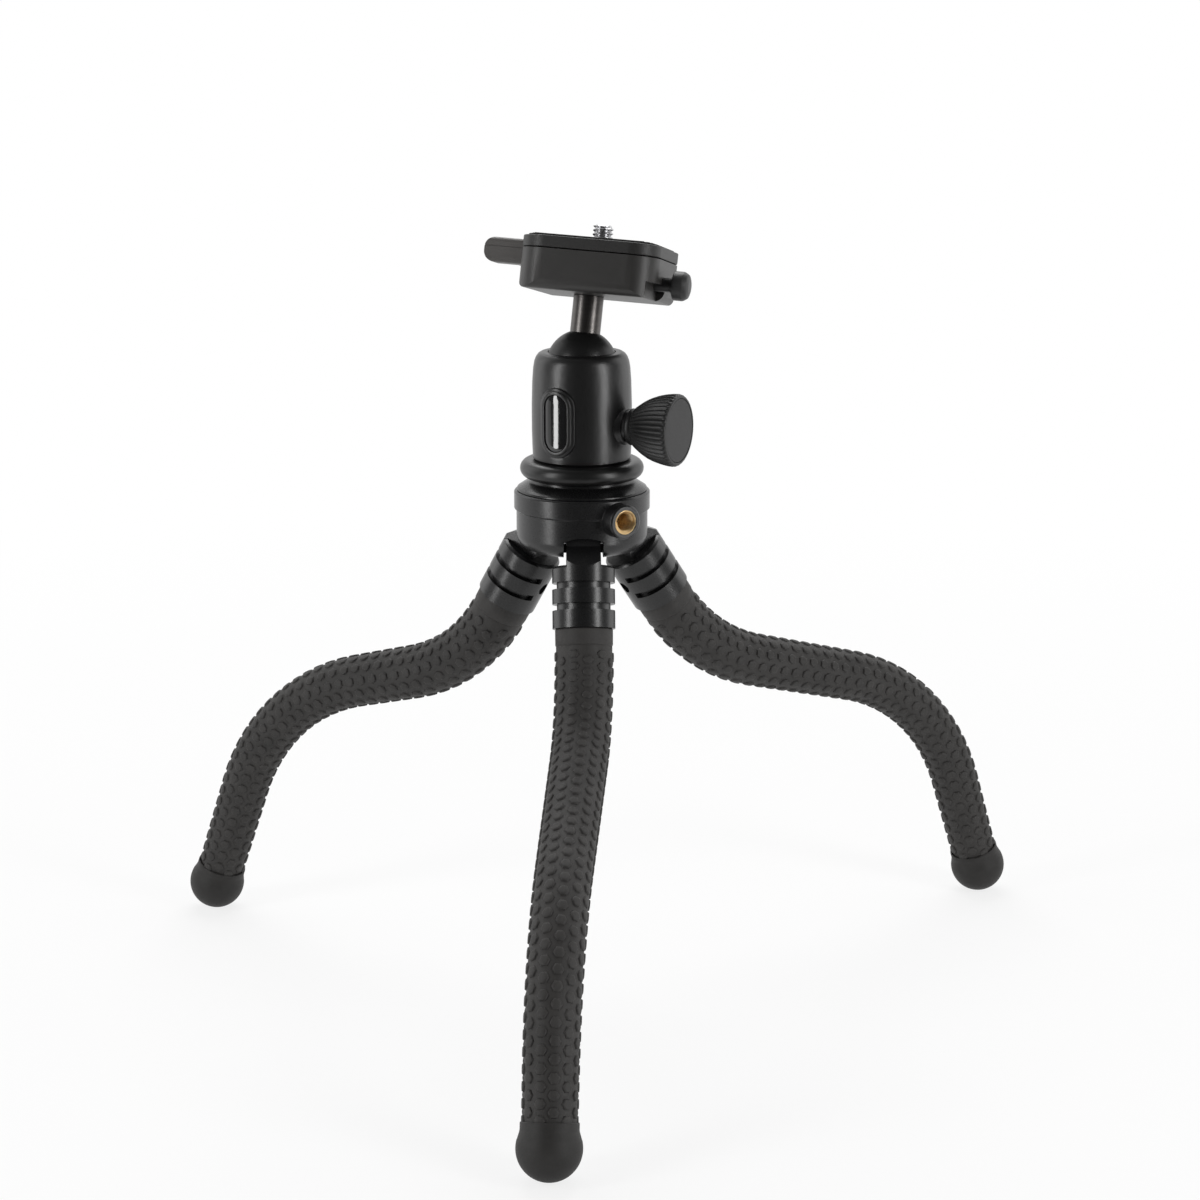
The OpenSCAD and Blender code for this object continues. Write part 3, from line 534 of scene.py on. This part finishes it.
class Sleeve:
    """Rubber sleeve with staggered hexagonal pads, as two closed skins that meet between the bends."""

    def __init__(self, leg):
        self.leg = leg
        self.phase = PHASE[leg.name]
        self.end = leg.length - LEG_END
        span = leg.length - TEXTURE_END - TEXTURE_START
        self.rows = round(span / PITCH)
        self.pitch = span / self.rows
        self.cut = round((leg.middle - TEXTURE_START) / self.pitch)

    def s_of(self, quarter):
        """Distance down the leg of a place in the texture, counted in quarters of a row."""
        return TEXTURE_START + quarter * self.pitch / 4

    def point(self, column, s, height, radius=None):
        """Point some columns round the sleeve, a distance s down it and a height off its skin."""
        p, u, v = self.leg.frame_at(s)
        a = 2 * math.pi * (column + self.phase) / COLUMNS
        r = self.leg.radius(s) - SKIN_INSET + height if radius is None else radius
        return p + (u * math.cos(a) + v * math.sin(a)) * r

    def vertex(self, key):
        """Index of a shared point, made when it is first asked for."""
        if key not in self.index:
            self.index[key] = len(self.verts)
            self.verts.append(self.point(*self.where(key)))
        return self.index[key]

    def where(self, key):
        """What point() needs for a shared point."""
        kind = key[0]
        if kind == "line":
            return key[1] - 0.5, self.s_of(key[2]), 0.0
        if kind == "mid":
            return key[1], self.s_of(key[2]), 0.0
        if kind == "ring":
            return key[1] / 2 - 0.5, key[2], key[3]
        return key[1] / 2 - 0.5, key[2], 0.0, BORE_R

    def line(self, b, q):
        return self.vertex(("line", b % COLUMNS, q))

    def mid(self, c, q):
        return self.vertex(("mid", c, q))

    def around(self, q):
        """The 24 points of a straight ring of the texture."""
        return [self.line(k // 2, q) if k % 2 == 0 else self.mid(k // 2, q) for k in range(2 * COLUMNS)]

    def plain(self, s, height):
        return [self.vertex(("ring", k, s, height)) for k in range(2 * COLUMNS)]

    def bore(self, s):
        return [self.vertex(("bore", k, s)) for k in range(2 * COLUMNS)]

    def join(self, first, second):
        """Faces between two rings of points."""
        n = len(first)
        for k in range(n):
            k2 = (k + 1) % n
            self.faces.append((first[k], first[k2], second[k2], second[k]))

    def pad(self, c, q):
        """One cell of the texture with its raised hexagon."""
        s, r = self.s_of(q + 2), self.leg.radius(self.s_of(q + 2)) - SKIN_INSET
        right = [self.line(c + 1, q + k) for k in range(5)]
        left = [self.line(c, q + k) for k in range(5)]
        edge = [*right[2:], self.mid(c, q + 4), *left[::-1], self.mid(c, q), *right[:2]]
        rings = [edge]
        for radius, height in zip(PAD_RADIUS, PAD_HEIGHT):
            ring = []
            for k in range(HEX_POINTS):
                reach = radius * (1.0 if k % 2 == 0 else math.cos(math.pi / 6))
                across, down = reach * math.cos(math.pi * k / 6), reach * math.sin(math.pi * k / 6)
                ring.append(len(self.verts))
                self.verts.append(self.point(c + across / r * COLUMNS / (2 * math.pi), s + down, height))
            rings.append(ring)
        for a, b in zip(rings, rings[1:]):
            self.join(a, b)
        crown = len(self.verts)
        self.verts.append(self.point(c, s, PAD_CROWN))
        top = rings[-1]
        for k in range(0, HEX_POINTS, 2):
            self.faces.append((crown, top[k], top[k + 1], top[(k + 2) % HEX_POINTS]))

    def blank(self, c, q):
        """Half a cell left plain at an end of the texture."""
        for k in (q, q + 1):
            high = self.line(c, k), self.mid(c, k), self.line(c + 1, k)
            low = self.line(c, k + 1), self.mid(c, k + 1), self.line(c + 1, k + 1)
            self.faces.append((high[0], high[1], low[1], low[0]))
            self.faces.append((high[1], high[2], low[2], low[1]))

    def seam(self, inner, flip):
        """End face along the stepped line where the two skins meet."""
        found = []
        for c in range(COLUMNS):
            q = 4 * self.cut + 2 * (c % 2)
            a, m, b = self.line(c, q), self.mid(c, q), self.line(c + 1, q)
            i, j, k = inner[2 * c], inner[2 * c + 1], inner[(2 * c + 2) % (2 * COLUMNS)]
            found += [(i, a, m, j), (j, m, b, k)]
            for step in (4 * self.cut, 4 * self.cut + 1):
                side = (i, self.line(c, step), self.line(c, step + 1))
                found.append(side if c % 2 else side[::-1])
        self.faces += [f[::-1] for f in found] if flip else found

    def skin(self, upper):
        """Points and faces of the upper or the lower skin."""
        self.verts, self.faces, self.index = [], [], {}
        seam_s = self.s_of(4 * self.cut + 1)
        first, last = (0, self.cut) if upper else (self.cut, self.rows)
        for c in range(COLUMNS):
            odd = c % 2
            for row in range(first, last - (0 if upper else odd)):
                self.pad(c, 4 * row + 2 * odd)
            if odd:
                self.blank(c, 0 if upper else 4 * self.rows - 2)
        if upper:
            rings = [self.plain(s, h) for s, h in BAND_EDGE] + [self.around(0)]
            for a, b in zip(rings, rings[1:]):
                self.join(a, b)
            inside = [self.bore(s) for s in np.linspace(0.0, seam_s, UPPER_BORE_RINGS)]
            self.join(inside[0], rings[0])
        else:
            rings = [self.around(4 * self.rows), self.plain(self.end - END_BEVEL, 0.0),
                     self.plain(self.end, -END_BEVEL)]
            for a, b in zip(rings, rings[1:]):
                self.join(a, b)
            inside = [self.bore(s) for s in np.linspace(seam_s, self.end, LOWER_BORE_RINGS)]
            self.join(rings[-1], inside[-1])
        for a, b in zip(inside, inside[1:]):
            self.join(b, a)
        self.seam(inside[-1] if upper else inside[0], flip=not upper)
        return self.verts, self.faces


CORE_TOP, CORE_STEPS, CORE_SIDES = -14.0, 36, 16
# radius and distance down from the centre of the foot
FOOT_PROFILE = (
    [(0, -LEG_END), (7.56, -LEG_END), (7.56, -6.6), (7.68, -6.88), (7.9, -7.0), (8.08, -6.9), (8.15, -6.65),
     (8.15, -5.0), (8.19, -4.6), (8.32, -4.1), (8.6, -3.2), (8.84, -2.4), (8.98, -2.05)]
    + [(FOOT_R * math.cos(a), FOOT_R * math.sin(a)) for a in np.radians(np.linspace(-9, 84, 22))]
    + [(0, FOOT_R)]
)


def to_m(p):
    return tuple(float(x) * MM for x in p)


for leg in LEGS:
    name = leg.name
    bends = {
        "upper": (f"{name}_root", f"{name}_mid", to_m(leg.b1), to_m(leg.m0)),
        "lower": (f"{name}_mid", f"{name}_tip", to_m(leg.m1), to_m(leg.b2)),
    }
    hidden = {
        "upper": [f"{name}_sleeve_upper"],
        "lower": [f"{name}_sleeve_middle", f"{name}_sleeve_lower"],
    }
    spans = {"upper": (CORE_TOP, leg.middle), "lower": (leg.middle, leg.length - LEG_END)}
    sleeve = Sleeve(leg)
    for part, (body_a, body_b, start, end) in bends.items():
        skin = new_piece(f"{name}_sleeve_skin_{part}", *sleeve.skin(part == "upper"))
        finish_piece(skin, "sleeve_rubber", sharp=52.0, weighted=False)
        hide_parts(*hidden[part])
        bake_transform(skin)
        path = [leg.at(s) for s in np.linspace(*spans[part], CORE_STEPS)]
        wire = rod(f"{name}_core_wire_{part}", tube(path, CORE_R, CORE_SIDES, leg.side))
        finish_piece(wire, "core_aluminium", weighted=False)
        if part == "upper":
            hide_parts(f"{name}_core")
        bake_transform(wire)
    foot = lathe(f"{name}_foot_ball", FOOT_PROFILE, leg.foot_matrix())
    stand_for(foot, "foot_rubber", f"{name}_foot", sharp=50.0, weighted=False)
    refine(f"{name}_socket", "socket_plastic", edge=0.3)
    refine(f"{name}_socket_screw", "black_steel", edge=0.12)


# Collar and column

refine("collar_body", "black_plastic", edge=0.3)
CAP_PROFILE = [(BOLT_HOLE_R, 160.6), (20.1, 160.6), (20.1, 161.3), (16.7, 163.5), (16.4, 163.9),
               (16.4, RING_Z), (BOLT_HOLE_R, RING_Z)]
cap = lathe("collar_cap_shape", rounded_loop(CAP_PROFILE, 0.25))
stand_for(cap, "cap_plastic", "collar_cap")
RING_ROUND = 2.8
RING_EDGE = [(16.3 + RING_ROUND * math.cos(a), RING_Z + RING_ROUND + RING_ROUND * math.sin(a))
             for a in np.radians(np.linspace(-90, 90, 25))]
RING_PROFILE = [(BOLT_HOLE_R, RING_Z), *RING_EDGE, (BOLT_HOLE_R, RING_Z + 2 * RING_ROUND)]
base_ring = lathe("base_ring_shape", RING_PROFILE)
stand_for(base_ring, "ring_plastic", "base_ring")
refine("hip_pins", "steel", edge=0.15)
refine("centre_bolt", "black_steel", edge=0.2)

THREAD_SEGS = 64
THREAD_STEP = THREAD_PITCH / 9
THREAD_ROOT = 2.52


def thread_row(z, root, crest):
    """Ring of points round a turned thread at height z, with flats on its root and crest."""
    phase = (z / THREAD_PITCH - np.arange(THREAD_SEGS) / THREAD_SEGS) % 1.0
    flank = np.clip(np.abs(phase - 0.5) * 2.0 * 1.3 - 0.15, 0, 1)
    return circle_row(root + (crest - root) * flank, z, THREAD_SEGS)


def plain_rows(profile):
    """Rings of a thread's plain ends."""
    return [circle_row(r, z, THREAD_SEGS) for r, z in profile]


INSERT_LEN = 8.6
INSERT_BACK = BOSS_FACE - 8.8
INSERT_WALL = [(3.45, 0.0), (3.74, 0.3), (3.74, INSERT_LEN - 0.12), (3.66, INSERT_LEN),
               (3.58, INSERT_LEN + 0.02), (3.52, INSERT_LEN), (3.22, INSERT_LEN - 0.35)]
INSERT_ROOT, INSERT_CREST = 3.16, 2.62
insert_rows = plain_rows(INSERT_WALL)
for z in np.arange(INSERT_LEN - 0.55, 0.3, -THREAD_STEP):
    insert_rows.append(thread_row(z, INSERT_ROOT, INSERT_CREST))
insert_rows += plain_rows([(3.0, 0.0)])
insert = new_piece("accessory_insert_shape", *ring_skin(insert_rows, closed=True),
                   facing(SOCKET_BEARING, SOCKET_Z) @ Matrix.Translation((0, 0, INSERT_BACK)))
stand_for(insert, "brass", "accessory_insert", sharp=48.0, weighted=False)


# Ball head

refine("ball_housing", "black_metal", edge=0.22)

OVAL_STEPS = 20


def oval_row(w, h, height):
    """Oval outline on the round wall of the housing, at an even height off it."""
    pts = []
    for end in (1, -1):
        for k in range(OVAL_STEPS + 1):
            a = math.pi * k / OVAL_STEPS
            across, up = w / 2 * math.cos(a) * end, end * ((h - w) / 2 + w / 2 * math.sin(a))
            pts.append((up, -across, math.sqrt((HOUSE_R + height) ** 2 - across ** 2)))
    return pts


# width and length of each oval and its height off the wall, from the outside in
INLAY_FRAME = [(11.9, 21.4, -0.45), (11.9, 21.4, 0.28), (11.8, 21.3, 0.38), (11.6, 21.1, 0.42),
               (10.3, 19.9, 0.42), (10.16, 19.76, 0.48), (10.1, 19.7, 0.8), (9.98, 19.58, 0.9),
               (9.8, 19.4, 0.94), (8.3, 17.9, 0.94), (8.12, 17.72, 0.9), (8.04, 17.64, 0.8),
               (8.0, 17.6, 0.5), (8.0, 17.6, -0.45)]
WINDOW = [(7.9, 17.5, -2.3), (7.9, 17.5, 0.46), (7.8, 17.4, 0.56), (7.6, 17.2, 0.6), (5.0, 14.6, 0.6),
          (2.4, 12.0, 0.6), (0.3, 9.9, 0.6)]
INLAY = facing(INLAY_BEARING, INLAY_Z)
frame_rows = [oval_row(*row) for row in INLAY_FRAME]
inlay_frame = new_piece("inlay_frame", *ring_skin(frame_rows, closed=True), INLAY)
finish_piece(inlay_frame, "black_metal", sharp=50.0, weighted=False)
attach(inlay_frame, BODY_OF["ball_housing"])
window = rod("housing_inlay_window", [oval_row(*row) for row in WINDOW], INLAY)
stand_for(window, "gloss_inlay", "housing_inlay", sharp=50.0, weighted=False)
refine("pressure_plunger", "brass", edge=0.2)
refine("ball_seat", "nylon", edge=0.2)
refine("ball", "ball_black", edge=0.15)
refine("knob_screw", "steel", edge=0.15)
refine("head_stem", "gunmetal", edge=0.2)

RIBS, RIB_POINTS, RIB_SHAPE = 40, 6, 1.6
KNOB_SEGS = RIBS * RIB_POINTS
# height along the knob, radius and depth of the grooves
KNOB_BORE = [(12.3, 2.55, 0), (0.2, 2.55, 0), (0.0, 2.75, 0)]
KNOB_FLANK = [(0.0, 5.3, 0), (0.05, 5.5, 0), (0.2, 5.62, 0), (1.5, 5.66, 0), (1.62, 5.5, 0), (1.74, 5.5, 0),
              (1.86, 6.1, 0), (2.05, 6.35, 0), (2.5, 6.7, 0.1), (2.9, 6.98, 0.34), (3.8, 7.6, 0.52),
              (5.0, 8.36, 0.58), (6.2, 9.0, 0.6), (7.4, 9.55, 0.6), (8.6, 9.98, 0.6), (9.8, 10.34, 0.6),
              (11.2, 10.66, 0.6), (12.6, 10.9, 0.6), (13.8, 11.05, 0.58), (14.6, 11.08, 0.54),
              (15.0, 11.08, 0.46), (15.3, 11.0, 0.34), (15.6, 10.82, 0.18), (15.84, 10.58, 0.04),
              (15.96, 10.36, 0), (16.0, 10.15, 0), (16.0, 9.95, 0), (15.95, 9.84, 0), (15.8, 9.78, 0),
              (15.2, 9.76, 0), (15.2, 4.0, 0)]
KNOB_FACE = [(0, 15.22), (9.56, 15.22), (9.7, 15.34), (9.7, 15.78), (9.62, 15.88), (9.44, 15.92),
             (6.0, 15.95), (0, 15.96)]
KNOB = facing(KNOB_BEARING, KNOB_Z) @ Matrix.Translation((0, 0, KNOB_R0))
groove = (0.5 + 0.5 * np.cos(np.arange(KNOB_SEGS) * 2 * math.pi / RIB_POINTS)) ** RIB_SHAPE
knob_rows = [circle_row(r - depth * groove, z, KNOB_SEGS) for z, r, depth in KNOB_BORE + KNOB_FLANK]
knob = rod("lock_knob_grip", knob_rows, KNOB)
stand_for(knob, "knob_rubber", "lock_knob", sharp=55.0, weighted=False)
stand_for(lathe("knob_cap_disc", KNOB_FACE, KNOB), "knob_face", "knob_cap", sharp=50.0)


# Clamp and camera plate

refine("clamp_body", "clamp_plastic", edge=0.4)
refine("clamp_screw", "black_steel", edge=0.15)
refine("release_lever", "lever_plastic", edge=0.45)
refine("lever_pin", "steel", edge=0.15)
refine("camera_plate", "plate_plastic", edge=0.35)

BUTTON_Y, BUTTON_Z = -4.0, CLAMP_BASE + 5.1
BUTTON_R, BUTTON_X, BUTTON_START = 4.45, CLAMP_W / 2 + 3.4, 9.0
BUTTON_HEAD = rounded([(2.2, BUTTON_START), (2.2, BUTTON_X - 0.9), (2.6, BUTTON_X - 0.8),
                       (2.6, BUTTON_X), (BUTTON_R, BUTTON_X), (BUTTON_R, BUTTON_X + 3.0),
                       (BUTTON_R - 0.8, BUTTON_X + 4.4), (BUTTON_R - 2.2, BUTTON_X + 4.9),
                       (0.4, BUTTON_X + 5.0)], 0.35)
# the button's axis, local z, runs along the clamp's x
BUTTON = CLAMP @ Matrix.Translation((0, BUTTON_Y, BUTTON_Z)) @ Matrix.Rotation(math.radians(90), 4, "Y")
button = lathe("safety_button_cap", [(0, BUTTON_START), *BUTTON_HEAD, (0, BUTTON_X + 5.0)], BUTTON)
stand_for(button, "button_plastic", "safety_button", sharp=50.0, weighted=False)
SPRING_X0, SPRING_X1, SPRING_R, SPRING_TURNS = 4.3, 8.7, 1.6, 5
SPRING_WIRE, SPRING_STEPS, SPRING_SIDES = 0.25, 24, 10
coil = []
for k in range(SPRING_TURNS * SPRING_STEPS + 1):
    a = 2 * math.pi * k / SPRING_STEPS
    x = SPRING_X0 + (SPRING_X1 - SPRING_X0) * k / (SPRING_TURNS * SPRING_STEPS)
    p = np.array([x, BUTTON_Y + SPRING_R * math.cos(a), BUTTON_Z + SPRING_R * math.sin(a)])
    t = unit(np.array([(SPRING_X1 - SPRING_X0) / SPRING_TURNS / (2 * math.pi), -SPRING_R * math.sin(a),
                       SPRING_R * math.cos(a)]))
    coil.append((p, t))
spring = rod("button_spring_coil", tube(coil, SPRING_WIRE, SPRING_SIDES, np.array([1.0, 0, 0])), CLAMP)
stand_for(spring, "steel", "button_spring", weighted=False)
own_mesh(spring)


def plan_outline(w, d, r, steps=8):
    """Rectangle with rounded corners."""
    pts = []
    for cx, cy, a0 in ((1, 1, 0), (-1, 1, 90), (-1, -1, 180), (1, -1, 270)):
        for k in range(steps + 1):
            a = math.radians(a0 + 90 * k / steps)
            pts.append((cx * (w / 2 - r) + r * math.cos(a), cy * (d / 2 - r) + r * math.sin(a)))
    return pts


def slab(bm, outline, hole, z0, z1):
    """Flat plate with a round hole, as a closed shell."""
    loops = []
    for z in (z0, z1):
        for pts in (outline, hole):
            vs = [bm.verts.new((x, y, z)) for x, y in pts]
            loops.append((vs, [bm.edges.new((a, b)) for a, b in zip(vs, vs[1:] + vs[:1])]))
    for k in (0, 2):
        bmesh.ops.triangle_fill(bm, edges=loops[k][1] + loops[k + 1][1], use_beauty=True)
    for k in (0, 1):
        low, high = loops[k][0], loops[k + 2][0]
        n = len(low)
        for i in range(n):
            bm.faces.new((low[i], low[(i + 1) % n], high[(i + 1) % n], high[i]))


def bar(bm, x0, x1, y, width, z0, z1):
    """Raised rib with a rounded top."""
    half = width / 2
    section = [(-half, z0), (half, z0), (half * 0.9, z1 - 0.1), (half * 0.5, z1), (-half * 0.5, z1),
               (-half * 0.9, z1 - 0.1)]
    ends = [[bm.verts.new((x, y + v, z)) for v, z in section] for x in (x0, x1)]
    n = len(section)
    for k in range(n):
        bm.faces.new((ends[0][k], ends[1][k], ends[1][(k + 1) % n], ends[0][(k + 1) % n]))
    bm.faces.new(ends[0])
    bm.faces.new(ends[1][::-1])


PAD_W, PAD_D, PAD_CORNER, PAD_HOLE = CLAMP_W - 3, CLAMP_D - 3, CLAMP_CORNER - 1.5, THREAD_R + 1.2
PAD_BASE, HOLE_POINTS = 0.5, 48
RIB_PITCH, RIB_W, RIB_ROOT, RIB_ROWS = 1.9, 1.0, 0.48, 8
RIB_MARGIN, RIB_HOLE = 1.2, PAD_HOLE + 1.0
bm = bmesh.new()
hole = [(PAD_HOLE * math.cos(a), PAD_HOLE * math.sin(a))
        for a in np.arange(HOLE_POINTS) * 2 * math.pi / HOLE_POINTS]
slab(bm, plan_outline(PAD_W, PAD_D, PAD_CORNER), hole, 0.0, PAD_BASE)
for row in range(-RIB_ROWS, RIB_ROWS + 1):
    y = row * RIB_PITCH
    reach = PAD_W / 2 - RIB_MARGIN
    over = abs(y) - (PAD_D / 2 - PAD_CORNER)
    if over > 0:
        reach -= PAD_CORNER - math.sqrt(max(PAD_CORNER ** 2 - over ** 2, 0))
    gap = math.sqrt(max(RIB_HOLE ** 2 - y * y, 0))
    for x0, x1 in ([(-reach, reach)] if gap == 0 else [(-reach, -gap), (gap, reach)]):
        bar(bm, x0, x1, y, RIB_W, RIB_ROOT, PAD_T)
bmesh.ops.recalc_face_normals(bm, faces=bm.faces)
bm.transform(CLAMP @ Matrix.Translation((0, 0, PAD_Z)))
stand_for(from_bmesh("plate_pad_ribbed", bm), "pad_rubber", "plate_pad", sharp=35.0)

# The camera screw keeps its slotted head and neck from the solid and gets a cut thread above the pad.
STUD_Z = PAD_Z + PAD_T
STUD_TIP = STUD_Z + STUD_LEN
bm = welded_solid("camera_screw")
cut_at = CLAMP @ Vector((0, 0, STUD_Z + 0.15))
cut_along = CLAMP.to_3x3() @ Vector((0, 0, 1))
bmesh.ops.bisect_plane(bm, geom=bm.verts[:] + bm.edges[:] + bm.faces[:], dist=1e-7, plane_co=cut_at,
                       plane_no=cut_along.normalized(), clear_outer=True)
bmesh.ops.holes_fill(bm, edges=[e for e in bm.edges if len(e.link_faces) == 1], sides=0)
merge_flats(bm)
stud_rows = plain_rows([(2.4, STUD_Z + 0.1), (THREAD_ROOT, STUD_Z + 0.25)])
for z in np.arange(STUD_Z + 0.4, STUD_TIP - 0.5, THREAD_STEP):
    stud_rows.append(thread_row(z, THREAD_ROOT, THREAD_R))
stud_rows += plain_rows([(2.55, STUD_TIP - 0.42), (2.3, STUD_TIP - 0.05), (2.15, STUD_TIP)])
verts, faces = rod_skin(stud_rows)
made = [bm.verts.new(CLAMP @ Vector(p)) for p in verts]
for f in faces:
    bm.faces.new([made[i] for i in f])
stud = from_bmesh("camera_screw_threaded", bm)
stand_for(stud, "steel", "camera_screw", sharp=48.0, weighted=False)


# Floor, light and camera

def backdrop_share(g, behind):
    """How far a ray sees the white backdrop: the camera always, reflections and glass on the far side."""
    path = g.add("ShaderNodeLightPath").outputs
    bounced = g.maths("MAXIMUM", path["Is Glossy Ray"], path["Is Transmission Ray"])
    return g.maths("MAXIMUM", path["Is Camera Ray"], g.maths("MULTIPLY", bounced, behind))


def ramp(g, value, low, high, start=0.0, end=1.0):
    """Smooth step of a value between two limits."""
    step = g.add("ShaderNodeMapRange", {"interpolation_type": "SMOOTHSTEP"}, Value=value)
    for socket, number in (("From Min", low), ("From Max", high), ("To Min", start), ("To Max", end)):
        g.put(step, socket, number)
    return step.outputs["Result"]


# The white table runs far back and ends a little in front of the tripod, where the room is darker.
# It lies just under the feet, and fades into the backdrop with distance and at its front edge.
FLOOR_HALF, FLOOR_FRONT, FLOOR_Z = 5.0, 0.3, -0.0002
FLOOR_NEAR_GLOW = 0.8
WHITE = (1, 1, 1, 1)
bm = bmesh.new()
bmesh.ops.create_grid(bm, x_segments=2, y_segments=2, size=FLOOR_HALF)
bmesh.ops.translate(bm, verts=bm.verts, vec=(0, FLOOR_HALF - FLOOR_FRONT, 0))
floor = from_bmesh("floor", bm)
floor.location = (0, 0, FLOOR_Z)
paper = bpy.data.materials.new("floor_paper")
paper.use_nodes = True
g = Graph(paper.node_tree)
lit = g.add("ShaderNodeBsdfDiffuse", Color=(0.82, 0.82, 0.82, 1))
glow = g.add("ShaderNodeEmission", Color=WHITE, Strength=1.0)
coords = g.add("ShaderNodeTexCoord")
reach = g.add("ShaderNodeVectorMath", {"operation": "LENGTH"})
g.put(reach, 0, coords.outputs["Object"])
depth = g.add("ShaderNodeSeparateXYZ", Vector=coords.outputs["Object"]).outputs["Y"]
far_fade = ramp(g, reach.outputs["Value"], 0.2, 0.75, FLOOR_NEAR_GLOW, 1.0)
edge_fade = ramp(g, depth, 0.02 - FLOOR_FRONT, 0.1 - FLOOR_FRONT, 1.0, FLOOR_NEAR_GLOW)
fade = g.maths("MAXIMUM", far_fade, edge_fade)
share = g.maths("MULTIPLY", fade, backdrop_share(g, ramp(g, depth, -0.4, 0.0)))
g.add("ShaderNodeOutputMaterial", Surface=g.mix(share, lit, glow))
floor.data.materials.append(paper)

world = bpy.data.worlds.new("studio")
scene.world = world
world.use_nodes = True
g = Graph(world.node_tree)
coords = g.add("ShaderNodeTexCoord")
depth = g.add("ShaderNodeSeparateXYZ", Vector=coords.outputs["Generated"]).outputs["Y"]
fill = g.add("ShaderNodeBackground", Color=WHITE, Strength=ramp(g, depth, -0.5, 0.7, 0.08, 0.6))
white = g.add("ShaderNodeBackground", Color=WHITE, Strength=1.0)
share = backdrop_share(g, ramp(g, depth, -0.1, 0.6))
g.add("ShaderNodeOutputWorld", Surface=g.mix(share, fill, white))


def softbox(name, at, aim, width, height, watts):
    """Rectangular light at a place, turned toward a point."""
    light = bpy.data.lights.new(name, "AREA")
    light.shape = "RECTANGLE"
    light.size, light.size_y, light.energy = width, height, watts
    obj = linked(name, light)
    obj.location = at
    obj.rotation_euler = (Vector(aim) - Vector(at)).to_track_quat("-Z", "Y").to_euler()


softbox("left_strip", (-0.78, -0.44, 0.36), (0, 0, 0.3), 0.2, 0.9, 5.0)
softbox("right_strip", (0.72, -0.56, 0.36), (0, 0, 0.3), 0.22, 0.9, 5.6)
softbox("left_rim", (-0.85, 0.4, 0.4), (0, 0, 0.12), 0.5, 0.8, 1.0)
softbox("right_rim", (0.85, 0.35, 0.4), (0, 0, 0.12), 0.5, 0.8, 0.9)
softbox("top_box", (0.0, 0.6, 1.0), (0, 0, 0.1), 1.0, 0.6, 8.0)

# the viewing position solved from the photograph
LOOK_DOWN, LOOK_ASIDE = 13.6, -1.8
camera = linked("camera", bpy.data.cameras.new("camera"))
camera.data.lens = 84.9
camera.data.sensor_width = 36.0
camera.data.clip_start, camera.data.clip_end = 0.01, 50.0
camera.location = (-0.0214, -0.85875, 0.333)
camera.rotation_euler = (math.radians(90 - LOOK_DOWN), 0, math.radians(LOOK_ASIDE))
scene.camera = camera
scene.view_settings.view_transform = "Standard"
